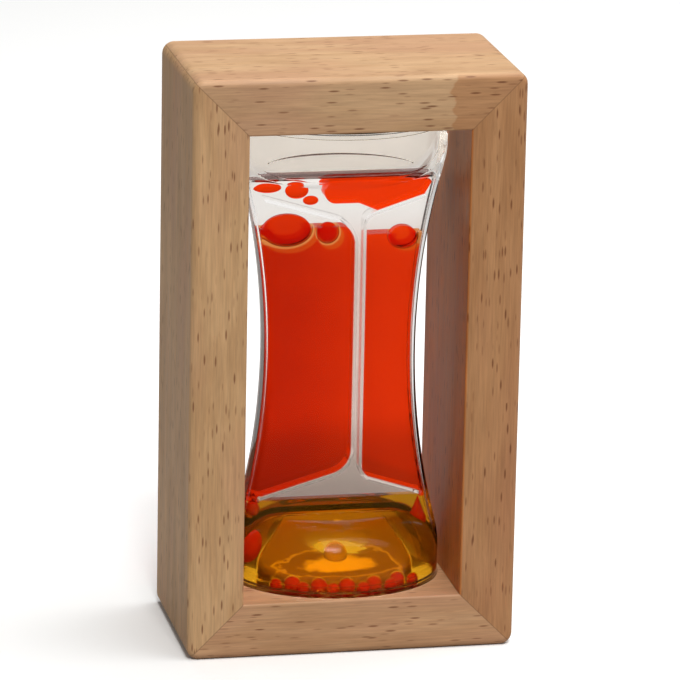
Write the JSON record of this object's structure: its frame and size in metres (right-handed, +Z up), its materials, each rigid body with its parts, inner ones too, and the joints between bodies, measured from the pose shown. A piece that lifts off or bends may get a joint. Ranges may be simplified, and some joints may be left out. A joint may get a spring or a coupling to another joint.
{
  "type": "liquid motion timer",
  "caption": "Free-standing sand-clock style timer: a clear waisted vessel of red oil, clear and amber liquid held in a mitred wooden frame, turned over by hand.",
  "frame": {"origin": "bottom centre of the frame, on the surface it stands on", "axes": "+Z up along the frame's height, +X along its width, +Y through its depth to the back"},
  "size_m": [0.0844, 0.0474, 0.15],
  "materials": {
    "beech": "satin oiled beech",
    "dowel_wood": "raw beech",
    "clear_plastic": "clear moulded plastic",
    "plug_plastic": "translucent plastic",
    "clear_liquid": "clear liquid",
    "amber_liquid": "amber liquid",
    "red_oil": "red dyed oil"
  },
  "bodies": {
    "timer": {"top_rail": "beech", "bottom_rail": "beech", "left_stile": "beech", "right_stile": "beech", "mitre_dowels": "dowel_wood", "front_shell": "clear_plastic", "rear_shell": "clear_plastic", "top_cap": "clear_plastic", "bottom_cap": "clear_plastic", "left_divider": "clear_plastic", "right_divider": "clear_plastic", "fill_plug": "plug_plastic", "clear_liquid_mouth": "clear_liquid", "clear_liquid_left": "clear_liquid", "clear_liquid_right": "clear_liquid", "clear_liquid_channel": "clear_liquid", "amber_liquid": "amber_liquid", "mouth_red_pool": "red_oil", "left_red_pool": "red_oil", "right_red_pool": "red_oil", "mouth_drops": "red_oil", "left_floating_drops": "red_oil", "right_floating_drop": "red_oil", "settled_drops": "red_oil", "left_forming_drop": "red_oil"},
    "right_drop": {"right_falling_drop": "red_oil"},
    "left_drop": {"left_falling_drop": "red_oil"}
  },
  "joints": [
    {"name": "right_drop_fall", "type": "slide", "parent": "timer", "child": "right_drop", "axis": [0, 0, -1], "range_m": [0, 0.0092], "deforming": ["amber_liquid"]},
    {"name": "left_drop_fall", "type": "slide", "parent": "timer", "child": "left_drop", "axis": [0, 0, -1], "range_m": [-0.0032, 0.0024], "deforming": ["amber_liquid"]}
  ]
}
